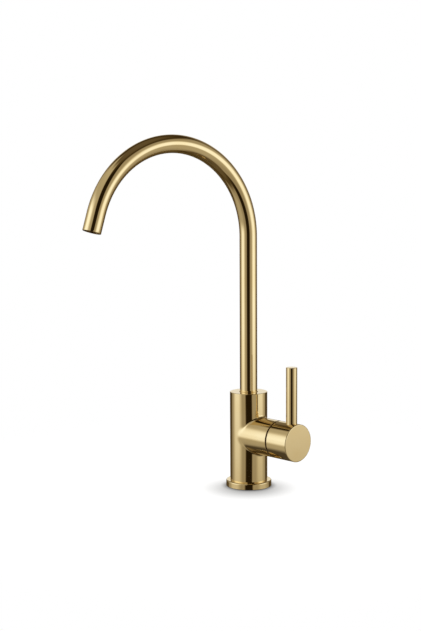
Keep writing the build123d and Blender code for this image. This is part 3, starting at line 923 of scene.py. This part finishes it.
def make_world():
    """The studio as the metal sees it, and plain white to the camera."""
    world = bpy.data.worlds.new("studio")
    bpy.context.scene.world = world
    world.use_nodes = True
    world.node_tree.nodes.clear()
    graph = Graph(world.node_tree)
    direction = graph.add("ShaderNodeTexCoord").outputs["Generated"]
    axes = graph.add("ShaderNodeSeparateXYZ", {0: direction}).outputs
    heading = graph.math("ARCTAN2", axes[1], axes[0])
    camera_side = studio().camera_heading - pi / 2
    turn = graph.math("WRAP", graph.math("SUBTRACT", heading, camera_side), pi, -pi)
    height = graph.math("ARCSINE", graph.math("MAXIMUM", graph.math("MINIMUM", axes[2], 1.0), -1.0))
    raised = graph.span(height, radians(GAP_LEAN_START), radians(GAP_LEAN_END), kind="SMOOTHSTEP")
    near_gap = graph.math("MAXIMUM", graph.math("COSINE", turn), 0.0)
    leaning = graph.math("MULTIPLY", raised, near_gap)
    left_turn = graph.math("SUBTRACT", turn, graph.math("MULTIPLY", leaning, radians(LEFT_LEAN)))
    right_turn = graph.math("SUBTRACT", turn, graph.math("MULTIPLY", leaning, radians(RIGHT_LEAN)))
    behind = graph.math("SUBTRACT", pi, graph.math("ABSOLUTE", turn))
    level = graph.ramp(graph.span(height, -pi / 2, pi / 2), as_stops(ROOM_HEIGHTS, -90, 90))
    for left, right, bottom, top, soft_side, soft_bottom, soft_top, brightness in PANELS:
        side_turn = left_turn if left < 0 else right_turn
        across = between(graph, side_turn, left, right, soft_side, soft_side)
        upright = between(graph, height, bottom, top, soft_bottom, soft_top)
        lit = graph.math("MULTIPLY", across, upright)
        level = graph.math("MULTIPLY_ADD", lit, brightness, level)
    for outer, bottom, top, soft_side, soft_bottom, soft_top, brightness in REAR_PANELS:
        inner_edge, outer_edge = radians(outer - soft_side), radians(outer + soft_side)
        across = graph.span(behind, inner_edge, outer_edge, 1.0, 0.0, "SMOOTHSTEP")
        upright = between(graph, height, bottom, top, soft_bottom, soft_top)
        lit = graph.math("MULTIPLY", graph.math("MULTIPLY", across, upright), brightness)
        level = graph.math("MAXIMUM", level, lit)
    tint = graph.ramp(
        graph.math("DIVIDE", level, TOP_LEVEL), [(stop / TOP_LEVEL, colour) for stop, colour in STUDIO_TINTS]
    )
    lit = graph.add("ShaderNodeBackground", {"Color": tint, "Strength": level})
    white = graph.add("ShaderNodeBackground", {"Color": (1.0, 1.0, 1.0, 1.0), "Strength": 1.0})
    seen = graph.add("ShaderNodeLightPath").outputs["Is Camera Ray"]
    both = graph.add("ShaderNodeMixShader", {0: seen, 1: lit.outputs[0], 2: white.outputs[0]})
    graph.add("ShaderNodeOutputWorld", {"Surface": both.outputs[0]})


def make_floor():
    """A pale round floor that fades into the white, with painted shade round the foot and under the tap."""
    bpy.ops.object.select_all(action="DESELECT")
    bpy.ops.mesh.primitive_circle_add(
        vertices=FLOOR_SIDES, radius=studio().floor_reach, fill_type="NGON", location=(0.0, 0.0, 0.0)
    )
    floor = bpy.context.active_object
    floor.name = "floor"
    material, graph = fresh_material("pale_floor")
    place = graph.add("ShaderNodeTexCoord").outputs["Object"]
    away = graph.add("ShaderNodeVectorMath", {0: place}, operation="LENGTH").outputs["Value"]
    open_floor = graph.span(away, FADE_START, studio().floor_reach * FADE_END, kind="SMOOTHSTEP")
    # Painted shadow: the floor's glow is dimmed by distance round the foot and by the painted contact shade
    beside = graph.add("ShaderNodeVectorMath", {0: place, 1: PAINTED_SHADE_MIDDLE}, operation="DISTANCE")
    shade = graph.math(
        "MULTIPLY",
        graph.span(beside.outputs["Value"], *PAINTED_FOOT_SHADE, kind="SMOOTHSTEP"),
        graph.shade(studio().line_reach, PAINTED_CONTACT_SHADE),
    )
    matt = graph.add("ShaderNodeBsdfDiffuse", {"Color": FLOOR_GREY})
    glow = graph.add("ShaderNodeEmission", {"Color": FLOOR_GLOW, "Strength": shade})
    pale = graph.add("ShaderNodeAddShader", {0: matt.outputs[0], 1: glow.outputs[0]})
    clear = graph.add("ShaderNodeBsdfTransparent")
    path = graph.add("ShaderNodeLightPath").outputs
    faded = graph.add("ShaderNodeMixShader", {0: open_floor, 1: pale.outputs[0], 2: clear.outputs[0]})
    # Painted reflection: glossy rays see a dark glow on the floor under the tap
    flat = graph.add("ShaderNodeLayerWeight", {"Blend": 0.5}).outputs["Facing"]
    under = graph.math(
        "MULTIPLY",
        graph.span(away, *UNDER_TAP, kind="SMOOTHSTEP"),
        graph.span(flat, *FLAT_VIEW, kind="SMOOTHSTEP"),
    )
    dim = graph.add("ShaderNodeEmission", {"Color": PAINTED_UNDER_SHADE_COLOUR})
    mirrored = graph.add("ShaderNodeMixShader", {0: under, 1: clear.outputs[0], 2: dim.outputs[0]})
    seen = graph.add(
        "ShaderNodeMixShader", {0: path["Is Glossy Ray"], 1: faded.outputs[0], 2: mirrored.outputs[0]}
    )
    graph.add("ShaderNodeOutputMaterial", {"Surface": seen.outputs[0]})
    floor.data.materials.append(material)


def make_camera():
    """The camera at the photograph's viewing angle."""
    heading, dip, roll = studio().camera_heading, studio().camera_dip, studio().camera_roll
    level_right = Vector((cos(heading), sin(heading), 0.0))
    level_up = Vector((-sin(heading) * sin(dip), cos(heading) * sin(dip), cos(dip)))
    right = level_right * cos(roll) + level_up * sin(roll)
    up = level_up * cos(roll) - level_right * sin(roll)
    back = right.cross(up)
    lens = bpy.data.cameras.new("camera")
    lens.sensor_width = SENSOR
    lens.sensor_fit = "AUTO"
    lens.lens = FOCAL_PIXELS * SENSOR / PHOTO_HEIGHT
    camera = bpy.data.objects.new("camera", lens)
    bpy.context.scene.collection.objects.link(camera)
    turn = Matrix((right, up, back)).transposed().to_4x4()
    camera.matrix_world = Matrix.Translation(studio().camera_place) @ turn
    bpy.context.scene.camera = camera


class FILTERTAP_OT_studio(bpy.types.Operator):
    """Sets up the floor, the light, the surroundings and the camera"""

    bl_idname = "filter_tap.studio"
    bl_label = "Studio"

    def execute(self, context):
        context.scene.view_settings.view_transform = "Standard"
        make_world()
        make_floor()
        bpy.ops.object.light_add(type="AREA", location=(0.0, 0.0, LAMP_HEIGHT))
        lamp = context.active_object
        lamp.name = "overhead_light"
        lamp.data.shape = "DISK"
        lamp.data.size = LAMP_SIZE
        lamp.data.energy = studio().key_power
        lamp.visible_glossy = False
        lamp.visible_camera = False
        make_camera()
        return {"FINISHED"}


OPERATORS = (
    FILTERTAP_OT_gold_shell,
    FILTERTAP_OT_gooseneck,
    FILTERTAP_OT_brass_parts,
    FILTERTAP_OT_seals,
    FILTERTAP_OT_ceramic_discs,
    FILTERTAP_OT_plastic_parts,
    FILTERTAP_OT_steel_parts,
    FILTERTAP_OT_studio,
)


class FILTERTAP_PT_panel(bpy.types.Panel):
    """Lists the steps that finish the tap"""

    bl_label = "Filter tap"
    bl_idname = "FILTERTAP_PT_panel"
    bl_space_type = "VIEW_3D"
    bl_region_type = "UI"
    bl_category = "Filter tap"

    def draw(self, context):
        for settings in (metal(), spout(), studio()):
            box = self.layout.box()
            for name in settings.__annotations__:
                box.prop(settings, name)
        for operator in OPERATORS:
            self.layout.operator(operator.bl_idname)


CLASSES = (FilterTapMetal, FilterTapSpout, FilterTapStudio, *OPERATORS, FILTERTAP_PT_panel)


def register():
    """Adds the classes and the settings to Blender."""
    for entry in CLASSES:
        bpy.utils.register_class(entry)
    bpy.types.Scene.filter_tap_metal = PointerProperty(type=FilterTapMetal)
    bpy.types.Scene.filter_tap_spout = PointerProperty(type=FilterTapSpout)
    bpy.types.Scene.filter_tap_studio = PointerProperty(type=FilterTapStudio)


def unregister():
    """Takes the settings and the classes out of Blender."""
    del bpy.types.Scene.filter_tap_studio
    del bpy.types.Scene.filter_tap_spout
    del bpy.types.Scene.filter_tap_metal
    for entry in reversed(CLASSES):
        bpy.utils.unregister_class(entry)


def main():
    """Runs every step in order."""
    register()
    bpy.ops.filter_tap.gold_shell()
    bpy.ops.filter_tap.gooseneck()
    bpy.ops.filter_tap.brass_parts()
    bpy.ops.filter_tap.seals()
    bpy.ops.filter_tap.ceramic_discs()
    bpy.ops.filter_tap.plastic_parts()
    bpy.ops.filter_tap.steel_parts()
    bpy.ops.filter_tap.studio()


if __name__ == "__main__":
    main()
